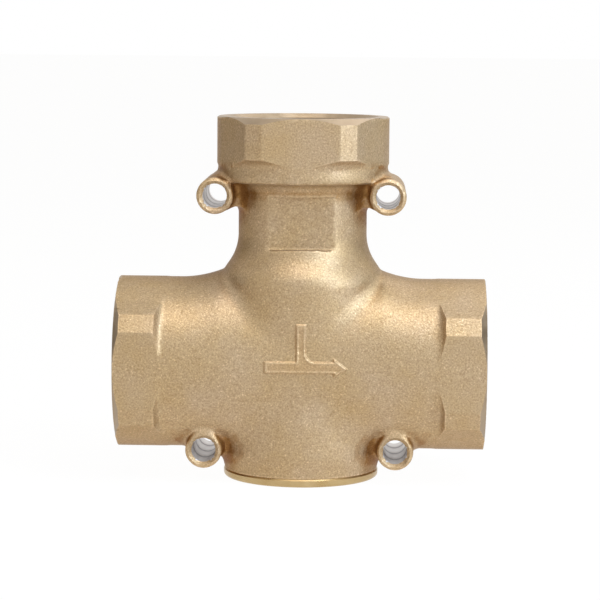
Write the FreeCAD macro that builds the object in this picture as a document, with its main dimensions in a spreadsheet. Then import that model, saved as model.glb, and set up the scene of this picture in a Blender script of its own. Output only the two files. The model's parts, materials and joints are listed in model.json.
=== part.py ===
import FreeCAD, Part
import os
import re
import Sketcher

# Anti-condensation valve, DN 32, millimetres.
# Origin under the middle of the bottom plug, +Z up, +X towards the outlet, -Y is the marked front.

doc = FreeCAD.newDocument("anti_condensation_valve")
sheet = doc.addObject("Spreadsheet::Sheet", "Sizes")

# Driving sizes
SIZES = [
    ("axis_height", 33.7, "port axis above the underside of the plug"),
    ("port_reach", 54.0, "side port face from the middle"),
    ("top_reach", 73.0, "top port face above the port axis"),
    ("flat_half", 25.0, "half the size across the spanner flats"),
    ("corner_cut", 3.4, "length taken off each flat where a corner is turned away"),
    ("trim_over", 0.3, "radius by which the corners at the mould joint stand over the flats"),
    ("hex_length", 14.4, "length of a spanner hexagon"),
    ("hex_bevel_r", 24.8, "radius where the bevel of a port face starts"),
    ("hex_bevel_rise", 0.7, "axial depth of that bevel per millimetre of radius"),
    ("barrel_r", 25.15, "outer radius of the side barrel"),
    ("collar_r", 25.2, "outer radius of the round collar under the top hexagon"),
    ("collar_base", 54.2, "underside of the collar above the port axis"),
    ("collar_edge", 2.8, "rounding of the lower edge of the collar"),
    ("neck_r", 18.9, "outer radius of the neck"),
    ("flare_start", 38.6, "height above the port axis where the neck starts to flare"),
    ("flare_r", 14.7, "radius of the flare"),
    ("chamber_r", 24.1, "outer radius of the upright chamber"),
    ("boss_top", 25.6, "distance under the port axis where the bottom boss starts to taper"),
    ("boss_r", 22.6, "outer radius at the end of the bottom boss"),
    ("pad_depth", 16.3, "distance of the flat on the neck from the middle"),
    ("pad_low", 35.9, "lower edge of that flat above the port axis"),
    ("pad_high", 50.3, "upper edge of that flat above the port axis"),
    ("pad_slope", 0.85, "run-out of the flat into the flare, rise per millimetre"),
    ("lug_r", 5.3, "outer radius of a fixing lug"),
    ("lug_bore_r", 3.5, "bore radius of a fixing lug"),
    ("top_lug_x", 25.1, "upper lugs from the middle"),
    ("top_lug_up", 50.3, "upper lugs above the port axis"),
    ("top_lug_half", 16.0, "half length of an upper lug"),
    ("low_lug_x", 27.9, "lower lugs from the middle"),
    ("low_lug_down", 23.7, "lower lugs under the port axis"),
    ("low_lug_half", 18.5, "half length of a lower lug"),
    ("web_half", 9.0, "half thickness of the web between neck and lug"),
    ("web_drop", 3.4, "lower edge of that web under the middle of the lug"),
    ("thread_r", 20.955, "major radius of the G 1 1/4 port thread"),
    ("thread_depth", 16.0, "depth of a threaded port"),
    ("mouth_bevel", 1.2, "bevel at the mouth of a port"),
    ("passage_r", 16.0, "radius of the water passage behind a side port"),
    ("divider", 23.5, "end of the side passages from the middle"),
    ("mix_r", 17.5, "radius of the mixing chamber"),
    ("roof_up", 25.8, "by-pass seat above the port axis"),
    ("neck_bore_r", 13.3, "bore of the neck"),
    ("outlet_r", 12.0, "radius of the raised outlet passage"),
    ("outlet_up", 9.0, "middle of the raised outlet passage above the port axis"),
    ("inlet_r", 21.0, "radius of the rounded sides of the lowered inlet passage"),
    ("inlet_roof", 9.8, "roof of the lowered inlet passage under the port axis"),
    ("inlet_floor", 17.8, "floor of the lowered inlet passage under the port axis"),
    ("low_r", 20.0, "radius of the lower chamber"),
    ("shoulder_down", 6.0, "shoulder for the thermostat under the port axis"),
    ("plug_rim_r", 22.9, "radius of the rim of the plug"),
    ("plug_rim_t", 2.5, "thickness of the rim of the plug"),
    ("plug_rim_edge", 1.0, "rounding of the lower edge of the rim"),
    ("plug_rim_bevel", 0.5, "bevel of the upper edge of the rim"),
    ("plug_fit", 0.08, "radial play of the plug in its thread"),
    ("plug_floor", 6.0, "thickness of the middle of the plug"),
    ("plug_top", 12.6, "height of the plug"),
    ("plug_hollow_r", 16.6, "inner radius of the plug"),
    ("socket_half", 7.0, "half the size across flats of the key socket in the plug"),
    ("socket_depth", 3.4, "depth of the key socket"),
    ("ring_wire", 0.95, "section radius of the sealing ring of the plug"),
    ("ring_seat", 18.0, "radius of the groove for the sealing ring"),
    ("ring_up", 3.9, "middle of the sealing ring above the underside"),
    ("gasket_t", 1.0, "thickness of the flange gasket"),
    ("flange_t", 1.4, "thickness of the thermostat flange"),
    ("flange_r", 19.7, "radius of the thermostat flange"),
    ("seat_r", 12.5, "radius of the main seat opening"),
    ("clip_t", 1.2, "thickness of the retaining ring"),
    ("clip_in", 18.2, "inner radius of the retaining ring"),
    ("clip_out", 20.9, "outer radius of the retaining ring"),
    ("clip_gap", 9.0, "opening of the retaining ring"),
    ("bridge_leg", 15.2, "outer face of the legs of the lower bridge"),
    ("bridge_t", 1.3, "thickness of the lower bridge"),
    ("bridge_depth", 19.5, "underside of the lower bridge under the port axis"),
    ("bridge_half", 4.0, "half width of the lower bridge"),
    ("cup_seat_r", 4.0, "radius of the pin seat on the lower bridge"),
    ("cup_seat_h", 3.5, "height of that pin seat"),
    ("pin_r", 1.92, "radius of the piston pin"),
    ("pin_play", 0.06, "running clearance of the pin"),
    ("pin_top", 2.7, "end of the pin above the port axis"),
    ("seal_t", 1.0, "thickness of the seal of the main disc"),
    ("seal_r", 14.2, "radius of the seal of the main disc"),
    ("disc_t", 1.2, "thickness of the main disc"),
    ("disc_r", 13.8, "radius of the main disc"),
    ("guide_r", 3.4, "radius of the guide shank"),
    ("guide_low", 11.0, "lower end of the guide under the port axis"),
    ("guide_head_r", 7.2, "radius of the head of the guide"),
    ("guide_head_t", 1.6, "thickness of the head of the guide"),
    ("cup_r", 6.8, "outer radius of the wax cup"),
    ("cup_wall", 0.8, "wall of the wax cup"),
    ("cup_top", 9.5, "top of the wax cup above the port axis"),
    ("stem_r", 1.9, "radius of the stem on the wax cup"),
    ("stem_top", 22.0, "top of the stem above the port axis"),
    ("boot_wall", 0.8, "wall of the rubber boot"),
    ("boot_top", 3.8, "top of the rubber boot above the port axis"),
    ("cage_in", 15.0, "inner radius of the legs of the spring cage"),
    ("cage_out", 16.4, "outer radius of the spring cage"),
    ("cage_top", 11.2, "top of the spring cage above the port axis"),
    ("cage_t", 1.2, "thickness of the top ring of the cage"),
    ("cage_hole", 8.2, "hole in the top ring of the cage"),
    ("cage_window", 9.0, "half width of a cage window"),
    ("cage_sill", 1.1, "height of the foot ring of the cage"),
    ("spring_r", 10.5, "mean radius of the return spring"),
    ("spring_wire", 0.75, "wire radius of the return spring"),
    ("spring_turns", 3.5, "turns of the return spring"),
    ("bypass_r", 15.6, "radius of the by-pass disc"),
    ("bypass_t", 1.2, "thickness of the by-pass disc"),
    ("bypass_low", 17.3, "underside of the by-pass disc above the port axis"),
    ("bypass_play", 0.06, "running clearance of the by-pass disc on the stem"),
    ("relief_r", 4.6, "mean radius of the by-pass spring"),
    ("relief_wire", 0.45, "wire radius of the by-pass spring"),
    ("relief_turns", 3.0, "turns of the by-pass spring"),
    ("stem_clip_t", 0.8, "thickness of the stem clip"),
    ("stem_clip_r", 4.0, "radius of the stem clip"),
    ("stem_groove_r", 1.4, "radius of the groove for the stem clip"),
    ("ramp_run", 1.0, "axial run of the inner end of a hexagon per millimetre of radius"),
    ("ramp_step", 0.1, "step left between the barrel and the inner end of a hexagon"),
    ("boss_bevel", 1.0, "bevel at the mouth of the bottom boss"),
    ("outlet_run", 2.0, "length of the raised outlet passage past the divider"),
    ("inlet_start", 35.0, "outer end of the lowered inlet passage from the middle"),
    ("clip_play", 0.1, "radial play of the retaining ring in its groove"),
    ("ring_room", 0.3, "axial room above the sealing ring in its groove"),
    ("gasket_set", 0.1, "inner edge of the gasket back from the mixing chamber"),
    ("pin_sink", 1.75, "depth of the pin in its seat"),
    ("cage_head", 1.0, "band left under the top ring of the cage"),
    ("spring_gap", 0.1, "gap at the ends of a spring"),
    ("fit_gap", 0.01, "gap between pieces that seat on each other"),
    ("cut_over", 5.0, "run of a cut past the surface that it takes away"),
]

# Sizes that follow from the driving ones, heights counted from the port axis
DERIVED = [
    ("hex_end", "port_reach - hex_length"),
    ("top_hex_end", "top_reach - hex_length"),
    ("strip_in", "flat_half * tan(30 deg) - corner_cut"),
    ("strip_out", "flat_half * tan(30 deg) + corner_cut / 2"),
    ("strip_depth", "flat_half - corner_cut * cos(30 deg)"),
    ("trim_r", "flat_half + trim_over"),
    ("trim_run", "sqrt(trim_r ^ 2 - flat_half ^ 2)"),
    ("trim_x", "flat_half * cos(30 deg) + trim_run * sin(30 deg)"),
    ("trim_y", "flat_half * sin(30 deg) - trim_run * cos(30 deg)"),
    ("cove_r", "collar_r - collar_edge - neck_r"),
    ("flare_end", "flare_start - sqrt(flare_r ^ 2 - (flare_r - chamber_r + neck_r) ^ 2)"),
    ("boss_end", "axis_height - plug_rim_t"),
    ("thread_end", "port_reach - thread_depth"),
    ("top_thread_end", "top_reach - thread_depth"),
    ("inlet_high_half", "sqrt(inlet_r ^ 2 - inlet_roof ^ 2)"),
    ("inlet_low_half", "sqrt(inlet_r ^ 2 - inlet_floor ^ 2)"),
    ("gasket_low", "0 - shoulder_down - gasket_t"),
    ("flange_low", "gasket_low - flange_t"),
    ("clip_low", "flange_low - clip_t"),
    ("seal_top", "gasket_low + seal_t"),
    ("disc_top", "seal_top + disc_t"),
    ("guide_top", "disc_top + guide_head_t"),
    ("bypass_top", "bypass_low + bypass_t"),
    ("plug_r", "low_r - plug_fit"),
    ("pin_low", "cup_seat_h - pin_sink - bridge_depth"),
    ("cage_ring_low", "cage_top - cage_t"),
    ("web_root", "(neck_bore_r + neck_r) / 2"),
]

for row, (alias, number, note) in enumerate(SIZES, 1):
    sheet.set("A%d" % row, note)
    sheet.set("B%d" % row, str(number))
    sheet.setAlias("B%d" % row, alias)
names = set(alias for alias, number, note in SIZES)
for row, (alias, formula) in enumerate(DERIVED, len(SIZES) + 1):
    sheet.set("A%d" % row, alias.replace("_", " "))
    sheet.set("B%d" % row, "=" + formula)
    sheet.setAlias("B%d" % row, alias)
    names.add(alias)
doc.recompute()


def rule(text):
    """Turn a rule in plain size names into an expression on the sheet."""
    def on_sheet(word):
        return "Sizes." + word.group(0) if word.group(0) in names else word.group(0)

    return re.sub(r"[a-z]\w*", on_sheet, str(text))


def value(text):
    """Present value of a rule."""
    return float(sheet.evalExpression(rule(text)))


def bind(obj, prop, text):
    """Tie a property to a rule."""
    obj.setExpression(prop, rule(text))


def new_body(label):
    body = doc.addObject("PartDesign::Body", label)
    body.Label = label
    return body


def plane(body, role):
    return [f for f in body.Origin.OriginFeatures if f.Role == role][0]


def new_sketch(body, name, role="XZ_Plane", shift="axis_height"):
    """Sketch on an origin plane; upright ones count heights from the port axis."""
    sk = body.newObject("Sketcher::SketchObject", name)
    sk.AttachmentSupport = [(plane(body, role), "")]
    sk.MapMode = "FlatFace"
    bind(sk, "AttachmentOffset.Base.z" if role == "XY_Plane" else "AttachmentOffset.Base.y", shift)
    return sk


def pin_point(sk, geo, pos, xs, ys):
    """Tie a point of the sketch to two rules."""
    for kind, axis, text in (("DistanceX", -2, xs), ("DistanceY", -1, ys)):
        if str(text) == "0":
            sk.addConstraint(Sketcher.Constraint("PointOnObject", geo, pos, axis))
        else:
            num = sk.addConstraint(Sketcher.Constraint(kind, geo, pos, value(text)))
            bind(sk, "Constraints[%d]" % num, text)


def arc_between(p, q, r, turn):
    """Short arc of radius r from p to q, turn +1 for counter-clockwise."""
    mid = (p + q) * 0.5
    half = (q - p) * 0.5
    rise = max(r * r - half.Length ** 2, 0.0) ** 0.5
    side = FreeCAD.Vector(-half.y, half.x, 0).normalize()
    bulge = mid - side * ((r - rise) * turn)
    first, last = (p, q) if turn > 0 else (q, p)
    return Part.Arc(first, bulge, last)


def outline(sk, points):
    """Closed outline; each point is (x, y) or (x, y, radius, turn) when an arc leads to the next one."""
    count = len(points)
    spots = [FreeCAD.Vector(value(p[0]), value(p[1]), 0) for p in points]
    ends = []
    for i, p in enumerate(points):
        here = spots[i]
        there = spots[(i + 1) % count]
        if len(p) == 2:
            geo = sk.addGeometry(Part.LineSegment(here, there), False)
            ends.append((geo, 1, 2))
        else:
            geo = sk.addGeometry(arc_between(here, there, value(p[2]), p[3]), False)
            ends.append((geo, 1, 2) if p[3] > 0 else (geo, 2, 1))
    for i, p in enumerate(points):
        geo, start, stop = ends[i]
        following, its_start, its_stop = ends[(i + 1) % count]
        sk.addConstraint(Sketcher.Constraint("Coincident", geo, stop, following, its_start))
        if len(p) == 4:
            num = sk.addConstraint(Sketcher.Constraint("Radius", geo, value(p[2])))
            bind(sk, "Constraints[%d]" % num, p[2])
    for i, p in enumerate(points):
        pin_point(sk, ends[i][0], ends[i][1], p[0], p[1])


def circles(sk, spots):
    """Circles given as (x, y, radius)."""
    for xs, ys, rs in spots:
        spot = FreeCAD.Vector(value(xs), value(ys), 0)
        geo = sk.addGeometry(Part.Circle(spot, FreeCAD.Vector(0, 0, 1), value(rs)), False)
        num = sk.addConstraint(Sketcher.Constraint("Radius", geo, value(rs)))
        bind(sk, "Constraints[%d]" % num, rs)
        pin_point(sk, geo, 3, xs, ys)


def spin(body, kind, sk, axis="V_Axis"):
    """Revolve a sketch about one of its own axes."""
    feature = body.newObject("PartDesign::" + kind, sk.Name + "_" + kind.lower())
    feature.Profile = sk
    feature.ReferenceAxis = (sk, [axis])
    feature.Angle = 360
    doc.recompute()
    return feature


def extrude(body, kind, sk, length, middle=True, back=False):
    """Pad or pocket a sketch, evenly to both sides unless told otherwise."""
    feature = body.newObject("PartDesign::" + kind, sk.Name + "_" + kind.lower())
    feature.Profile = sk
    bind(feature, "Length", length)
    feature.Midplane = middle
    feature.Reversed = back
    doc.recompute()
    return feature


def turned(label, *loops):
    """Piece turned about the upright axis."""
    body = new_body(label)
    sk = new_sketch(body, label + "_profile")
    for loop in loops:
        outline(sk, loop)
    spin(body, "Revolution", sk)
    return body


def ring(inner, outer, low, high):
    """Rectangular half section of a ring or disc."""
    return [(inner, low), (outer, low), (outer, high), (inner, high)]


def wire_section(radius, height, wire):
    """Round wire or ring, drawn with eight sides to keep its faces few."""
    corners = []
    for k in range(8):
        turn = "(%g deg)" % (22.5 + 45 * k)
        corners.append(("%s + %s * cos%s" % (radius, wire, turn), "%s + %s * sin%s" % (height, wire, turn)))
    return corners


def coil(label, radius, wire, low, high, turns):
    """Spring between the heights low and high, with a gap at both ends."""
    body = new_body(label)
    sk = new_sketch(body, label + "_wire")
    outline(sk, wire_section(radius, "%s + spring_gap + %s" % (low, wire), wire))
    rise = "%s - %s - 2 * spring_gap - 2 * %s" % (high, low, wire)
    helix = body.newObject("PartDesign::AdditiveHelix", label + "_coil")
    helix.Profile = sk
    helix.ReferenceAxis = (sk, ["V_Axis"])
    helix.Mode = "pitch-height-angle"
    bind(helix, "Height", rise)
    bind(helix, "Pitch", "(%s) / %s" % (rise, turns))
    doc.recompute()
    return body


# Valve body: one brass casting, outside first
casting = new_body("valve_body")

sk = new_sketch(casting, "barrel")
outline(sk, ring("0 - port_reach", "port_reach", 0, "barrel_r"))
spin(casting, "Revolution", sk, "H_Axis")

sk = new_sketch(casting, "tower")
outline(sk, [
    (0, "0 - boss_end"),
    ("boss_r", "0 - boss_end"),
    ("chamber_r", "0 - boss_top"),
    ("chamber_r", "flare_end", "flare_r", -1),
    ("neck_r", "flare_start"),
    ("neck_r", "collar_base - cove_r", "cove_r", -1),
    ("collar_r - collar_edge", "collar_base", "collar_edge", 1),
    ("collar_r", "collar_base + collar_edge"),
    ("collar_r", "top_reach"),
    (0, "top_reach"),
])
spin(casting, "Revolution", sk)

# Flat on the front of the neck, running out into the flare
sk = new_sketch(casting, "neck_flat", "YZ_Plane")
outline(sk, [
    ("0 - pad_depth", "pad_low"),
    ("0 - pad_depth", "pad_high"),
    ("0 - chamber_r - cut_over", "pad_high"),
    ("0 - chamber_r - cut_over", "pad_low - (chamber_r + cut_over - pad_depth) * pad_slope"),
])
extrude(casting, "Pocket", sk, "4 * neck_r")

# Spanner hexagons with turned corners
SECTION = [
    ("strip_in", "flat_half"),
    ("strip_out", "strip_depth"),
    ("trim_x", "trim_y"),
]
quarter = SECTION + [(x, "0 - " + y) for x, y in reversed(SECTION)]
hexagon = quarter + [("0 - " + x, y[4:] if y.startswith("0 - ") else "0 - " + y) for x, y in quarter]
for name, role, shift in (
    ("inlet_hex", "YZ_Plane", "0 - port_reach"),
    ("outlet_hex", "YZ_Plane", "hex_end"),
    ("top_hex", "XY_Plane", "axis_height + top_hex_end"),
):
    upright = role == "YZ_Plane"
    sk = new_sketch(casting, name, role, "axis_height" if upright else shift)
    if upright:
        bind(sk, "AttachmentOffset.Base.z", shift)
    corners = [(y, x) if upright else (x, y) for x, y in hexagon]
    for place in (2, 8):
        corners[place] += ("trim_r", 1 if upright else -1)
    outline(sk, corners)
    extrude(casting, "Pad", sk, "hex_length", False)

# Bevelled ends of the hexagons
def hex_trims(face, end, way):
    """Two triangles turned off a hexagon, at the port face and at the inner end."""
    outward = " + " if way > 0 else " - "
    inward = " - " if way > 0 else " + "
    bevel_r = "hex_bevel_r + cut_over"
    ramp_r = "barrel_r + ramp_step"
    ramp_top = ramp_r + " + cut_over"
    return [
        [(face, "hex_bevel_r"), (face, bevel_r), (face + inward + "cut_over * hex_bevel_rise", bevel_r)],
        [(end, ramp_r), (end + outward + "cut_over * ramp_run", ramp_top), (end, ramp_top)],
    ]


sk = new_sketch(casting, "side_bevels")
for loop in hex_trims("port_reach", "hex_end", 1) + hex_trims("0 - port_reach", "0 - hex_end", -1):
    outline(sk, loop)
spin(casting, "Groove", sk, "H_Axis")
sk = new_sketch(casting, "top_bevels")
for loop in hex_trims("top_reach", "top_hex_end", 1):
    outline(sk, [(y, x) for x, y in loop])
spin(casting, "Groove", sk)

# Fixing lugs and the webs of the upper pair
for side in ("", "0 - "):
    tag = "right" if side == "" else "left"
    sk = new_sketch(casting, "web_" + tag)
    outline(sk, [
        (side + "web_root", "top_lug_up - web_drop"),
        (side + "top_lug_x", "top_lug_up - web_drop"),
        (side + "top_lug_x", "collar_base + collar_edge"),
        (side + "web_root", "collar_base + collar_edge"),
    ])
    extrude(casting, "Pad", sk, "2 * web_half")
for tag, across, up, half in (
    ("upper", "top_lug_x", "top_lug_up", "top_lug_half"),
    ("lower", "low_lug_x", "0 - low_lug_down", "low_lug_half"),
):
    sk = new_sketch(casting, tag + "_lugs")
    circles(sk, [(across, up, "lug_r"), ("0 - " + across, up, "lug_r")])
    extrude(casting, "Pad", sk, "2 * " + half)
    sk = new_sketch(casting, tag + "_lug_bores")
    circles(sk, [(across, up, "lug_bore_r"), ("0 - " + across, up, "lug_bore_r")])
    extrude(casting, "Pocket", sk, "4 * " + half)

# Water ways: threaded ports, side passages, then the upright chambers
def port_void(face, end, stop, way):
    """Half section of a threaded port with its passage, along its axis."""
    inward = " - " if way > 0 else " + "
    outward = " + " if way > 0 else " - "
    return [
        (face + outward + "cut_over", 0),
        (face + outward + "cut_over", "thread_r + mouth_bevel + cut_over"),
        (face + inward + "mouth_bevel", "thread_r"),
        (end, "thread_r"),
        (end, "passage_r"),
        (stop, "passage_r"),
        (stop, 0),
    ]


sk = new_sketch(casting, "side_ports")
outline(sk, port_void("port_reach", "thread_end", "divider", 1))
outline(sk, port_void("0 - port_reach", "0 - thread_end", "0 - divider", -1))
spin(casting, "Groove", sk, "H_Axis")

sk = new_sketch(casting, "upright_void")
outline(sk, [
    (0, "0 - boss_end - cut_over"),
    ("low_r + boss_bevel + cut_over", "0 - boss_end - cut_over"),
    ("low_r", "boss_bevel - boss_end"),
    ("low_r", "clip_low"),
    ("clip_out + clip_play", "clip_low"),
    ("clip_out + clip_play", "flange_low"),
    ("low_r", "flange_low"),
    ("low_r", "0 - shoulder_down"),
    ("mix_r", "0 - shoulder_down"),
    ("mix_r", "roof_up"),
    ("neck_bore_r", "roof_up"),
    ("neck_bore_r", "top_thread_end"),
    ("thread_r", "top_thread_end"),
    ("thread_r", "top_reach - mouth_bevel"),
    ("thread_r + mouth_bevel + cut_over", "top_reach + cut_over"),
    (0, "top_reach + cut_over"),
])
spin(casting, "Groove", sk)

sk = new_sketch(casting, "outlet_way", "YZ_Plane")
circles(sk, [(0, "outlet_up", "outlet_r")])
extrude(casting, "Pocket", sk, "divider + outlet_run", False, True)

sk = new_sketch(casting, "inlet_way", "YZ_Plane")
outline(sk, [
    ("0 - inlet_high_half", "0 - inlet_roof", "inlet_r", 1),
    ("0 - inlet_low_half", "0 - inlet_floor"),
    ("inlet_low_half", "0 - inlet_floor", "inlet_r", 1),
    ("inlet_high_half", "0 - inlet_roof"),
])
extrude(casting, "Pocket", sk, "inlet_start", False, False)

# Bottom plug: turned brass, hollow above, key socket below
plug = turned("bottom_plug", [
    (0, "0 - axis_height"),
    ("plug_rim_r - plug_rim_edge", "0 - axis_height", "plug_rim_edge", 1),
    ("plug_rim_r", "plug_rim_edge - axis_height"),
    ("plug_rim_r", "0 - boss_end - plug_rim_bevel"),
    ("plug_rim_r - plug_rim_bevel", "0 - boss_end"),
    ("ring_seat", "0 - boss_end"),
    ("ring_seat", "ring_up + ring_wire + ring_room - axis_height"),
    ("plug_r", "ring_up + ring_wire + ring_room - axis_height"),
    ("plug_r", "plug_top - axis_height"),
    ("plug_hollow_r", "plug_top - axis_height"),
    ("plug_hollow_r", "plug_floor - axis_height"),
    (0, "plug_floor - axis_height"),
])
sk = new_sketch(plug, "key_socket", "XY_Plane", "0")
reach = "socket_half / cos(30 deg)"
outline(sk, [
    (reach, 0),
    (reach + " / 2", "socket_half"),
    ("0 - " + reach + " / 2", "socket_half"),
    ("0 - " + reach, 0),
    ("0 - " + reach + " / 2", "0 - socket_half"),
    (reach + " / 2", "0 - socket_half"),
])
extrude(plug, "Pocket", sk, "socket_depth", False, True)

# Sealing ring of the plug
o_ring = new_body("plug_o_ring")
sk = new_sketch(o_ring, "plug_o_ring_section")
outline(sk, wire_section("ring_seat + ring_wire + fit_gap", "ring_up - axis_height", "ring_wire"))
spin(o_ring, "Revolution", sk)

# Fixed pieces of the thermostat
gasket = turned("flange_gasket", ring("mix_r + gasket_set", "flange_r", "gasket_low", "0 - shoulder_down"))
flange = turned("seat_flange", ring("seat_r", "flange_r", "flange_low", "gasket_low"))
clip = turned("retaining_ring", ring("clip_in", "clip_out", "clip_low", "flange_low"))
sk = new_sketch(clip, "retaining_ring_gap")
outline(sk, [
    ("0 - clip_gap / 2", "clip_low - cut_over"),
    ("clip_gap / 2", "clip_low - cut_over"),
    ("clip_gap / 2", "flange_low + cut_over"),
    ("0 - clip_gap / 2", "flange_low + cut_over"),
])
extrude(clip, "Pocket", sk, "2 * clip_out", False, False)

bridge = new_body("lower_bridge")
sk = new_sketch(bridge, "strap", "YZ_Plane")
outline(sk, [
    ("0 - bridge_leg", "flange_low"),
    ("0 - bridge_leg", "0 - bridge_depth"),
    ("bridge_leg", "0 - bridge_depth"),
    ("bridge_leg", "flange_low"),
    ("bridge_leg - bridge_t", "flange_low"),
    ("bridge_leg - bridge_t", "bridge_t - bridge_depth"),
    ("bridge_t - bridge_leg", "bridge_t - bridge_depth"),
    ("bridge_t - bridge_leg", "flange_low"),
])
extrude(bridge, "Pad", sk, "2 * bridge_half")
sk = new_sketch(bridge, "pin_seat")
outline(sk, [(y, x) for x, y in (
    ("bridge_t / 2 - bridge_depth", 0),
    ("bridge_t / 2 - bridge_depth", "cup_seat_r"),
    ("cup_seat_h - bridge_depth", "cup_seat_r"),
    ("cup_seat_h - bridge_depth", 0),
)])
spin(bridge, "Revolution", sk)
sk = new_sketch(bridge, "pin_hole")
outline(sk, ring(0, "pin_r + fit_gap", "pin_low", "0 - guide_low"))
spin(bridge, "Groove", sk)

pin = turned("piston_pin", ring(0, "pin_r", "pin_low", "pin_top"))

cage = turned("spring_cage", [
    ("cage_in", "gasket_low"),
    ("cage_out", "gasket_low"),
    ("cage_out", "cage_top"),
    ("cage_hole", "cage_top"),
    ("cage_hole", "cage_ring_low"),
    ("cage_in", "cage_ring_low"),
])
for role in ("XZ_Plane", "YZ_Plane"):
    sk = new_sketch(cage, "window_" + role[:2].lower(), role)
    outline(sk, [
        ("0 - cage_window", "gasket_low + cage_sill"),
        ("cage_window", "gasket_low + cage_sill"),
        ("cage_window", "cage_ring_low - cage_head"),
        ("0 - cage_window", "cage_ring_low - cage_head"),
    ])
    extrude(cage, "Pocket", sk, "4 * cage_out")

# Moving pieces of the thermostat
disc_seal = turned("disc_seal", ring("guide_r + fit_gap", "seal_r", "gasket_low", "seal_top"))
main_disc = turned("main_disc", ring("guide_r + fit_gap", "disc_r", "seal_top", "disc_top"))
guide = turned("capsule_guide", [
    ("pin_r + pin_play", "0 - guide_low"),
    ("guide_r", "0 - guide_low"),
    ("guide_r", "disc_top"),
    ("guide_head_r", "disc_top"),
    ("guide_head_r", "guide_top"),
    ("pin_r + pin_play", "guide_top"),
])
cup = turned("wax_cup", [
    ("cup_r - cup_wall", "guide_top"),
    ("cup_r", "guide_top"),
    ("cup_r", "cup_top"),
    ("stem_r", "cup_top"),
    ("stem_r", "bypass_top"),
    ("stem_groove_r", "bypass_top"),
    ("stem_groove_r", "bypass_top + stem_clip_t"),
    ("stem_r", "bypass_top + stem_clip_t"),
    ("stem_r", "stem_top"),
    (0, "stem_top"),
    (0, "cup_top - cup_wall"),
    ("cup_r - cup_wall", "cup_top - cup_wall"),
])
boot_r = "pin_r + pin_play + boot_wall"
boot = turned("rubber_boot", [
    ("pin_r + pin_play", "guide_top"),
    (boot_r, "guide_top"),
    (boot_r, "boot_top"),
    (0, "boot_top"),
    (0, "boot_top - boot_wall"),
    ("pin_r + pin_play", "boot_top - boot_wall"),
])
wax = turned("wax_charge", [
    (boot_r + " + fit_gap", "guide_top"),
    ("cup_r - cup_wall - fit_gap", "guide_top"),
    ("cup_r - cup_wall - fit_gap", "cup_top - cup_wall - fit_gap"),
    (0, "cup_top - cup_wall - fit_gap"),
    (0, "boot_top + fit_gap"),
    (boot_r + " + fit_gap", "boot_top + fit_gap"),
])
clip_section = ring("stem_groove_r + fit_gap", "stem_clip_r", "bypass_top", "bypass_top + stem_clip_t")
stem_clip = turned("stem_clip", clip_section)
bypass = turned("bypass_disc", ring("stem_r + bypass_play", "bypass_r", "bypass_low", "bypass_top"))
spring = coil("return_spring", "spring_r", "spring_wire", "disc_top", "cage_ring_low", "spring_turns")
relief = coil("bypass_spring", "relief_r", "relief_wire", "cup_top", "bypass_low", "relief_turns")

# Check every piece, then write it out
doc.recompute()
for obj in doc.Objects:
    if "Invalid" in obj.State or "Error" in obj.State:
        raise RuntimeError("%s did not build" % obj.Label)
os.makedirs("parts", exist_ok=True)
for obj in doc.Objects:
    if obj.TypeId != "PartDesign::Body":
        continue
    if obj.Shape.isNull() or not obj.Shape.isValid() or len(obj.Shape.Solids) != 1:
        raise RuntimeError("%s is not one sound solid" % obj.Label)
    obj.Shape.exportStep("parts/%s.step" % obj.Label)
    box = obj.Shape.BoundBox
    print("%-16s %9.1f mm3  %s" % (obj.Label, obj.Shape.Volume, [round(v, 2) for v in (
        box.XMin, box.XMax, box.YMin, box.YMax, box.ZMin, box.ZMax)]))
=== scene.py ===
# %% [markdown]
# # Anti-condensation valve
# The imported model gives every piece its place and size. This lesson dresses it: the casting gets the soft
# valleys that a sand mould leaves, the ports get their threads, and each metal gets its own finish.

# %% Load the frame
import json
import math
from functools import reduce
from itertools import product

import bpy
import numpy as np
from mathutils import Matrix, Vector


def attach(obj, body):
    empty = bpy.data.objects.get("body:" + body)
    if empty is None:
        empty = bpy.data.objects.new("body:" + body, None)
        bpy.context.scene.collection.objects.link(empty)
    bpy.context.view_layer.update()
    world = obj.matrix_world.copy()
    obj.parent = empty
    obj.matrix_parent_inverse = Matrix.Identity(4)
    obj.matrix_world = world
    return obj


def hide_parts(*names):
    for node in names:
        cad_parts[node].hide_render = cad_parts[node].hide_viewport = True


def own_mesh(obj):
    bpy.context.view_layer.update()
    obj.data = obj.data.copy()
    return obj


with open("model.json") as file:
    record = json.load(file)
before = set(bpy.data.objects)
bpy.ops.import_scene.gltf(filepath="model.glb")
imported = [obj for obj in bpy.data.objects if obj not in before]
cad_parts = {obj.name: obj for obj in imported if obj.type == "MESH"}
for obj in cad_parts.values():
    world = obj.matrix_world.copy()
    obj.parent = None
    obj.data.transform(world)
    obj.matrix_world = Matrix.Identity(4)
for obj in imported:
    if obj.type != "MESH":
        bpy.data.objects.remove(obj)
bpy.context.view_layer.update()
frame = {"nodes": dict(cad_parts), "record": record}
MM = 0.001
AXIS_HEIGHT = 33.7

# %% [markdown]
# ## The casting as a distance field
# A casting has no sharp inside corners where two round bodies meet: the pattern maker rounds them.
# Bevelling such a crossing of cylinders in a mesh fails easily, so the shape is written as a distance
# field instead: a number at each point that is negative inside the metal. Two fields join with a soft
# minimum, which leaves a rounded valley, or with a plain minimum, which leaves a sharp one. Lengths are
# in millimetres and heights are counted from the axis of the side ports.

# %% Joining fields
NEVER_ZERO = 1e-9


def join(*fields):
    """Union of fields, with sharp valleys."""
    return reduce(np.minimum, fields)


def cut(*fields):
    """What all the fields share, with sharp edges."""
    return reduce(np.maximum, fields)


def soft_join(a, b, width):
    """Union of two fields with a rounded valley of about this width."""
    blend = np.maximum(width - np.abs(a - b), 0.0)
    return np.minimum(a, b) - blend * blend / (4.0 * np.maximum(width, NEVER_ZERO))


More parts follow.
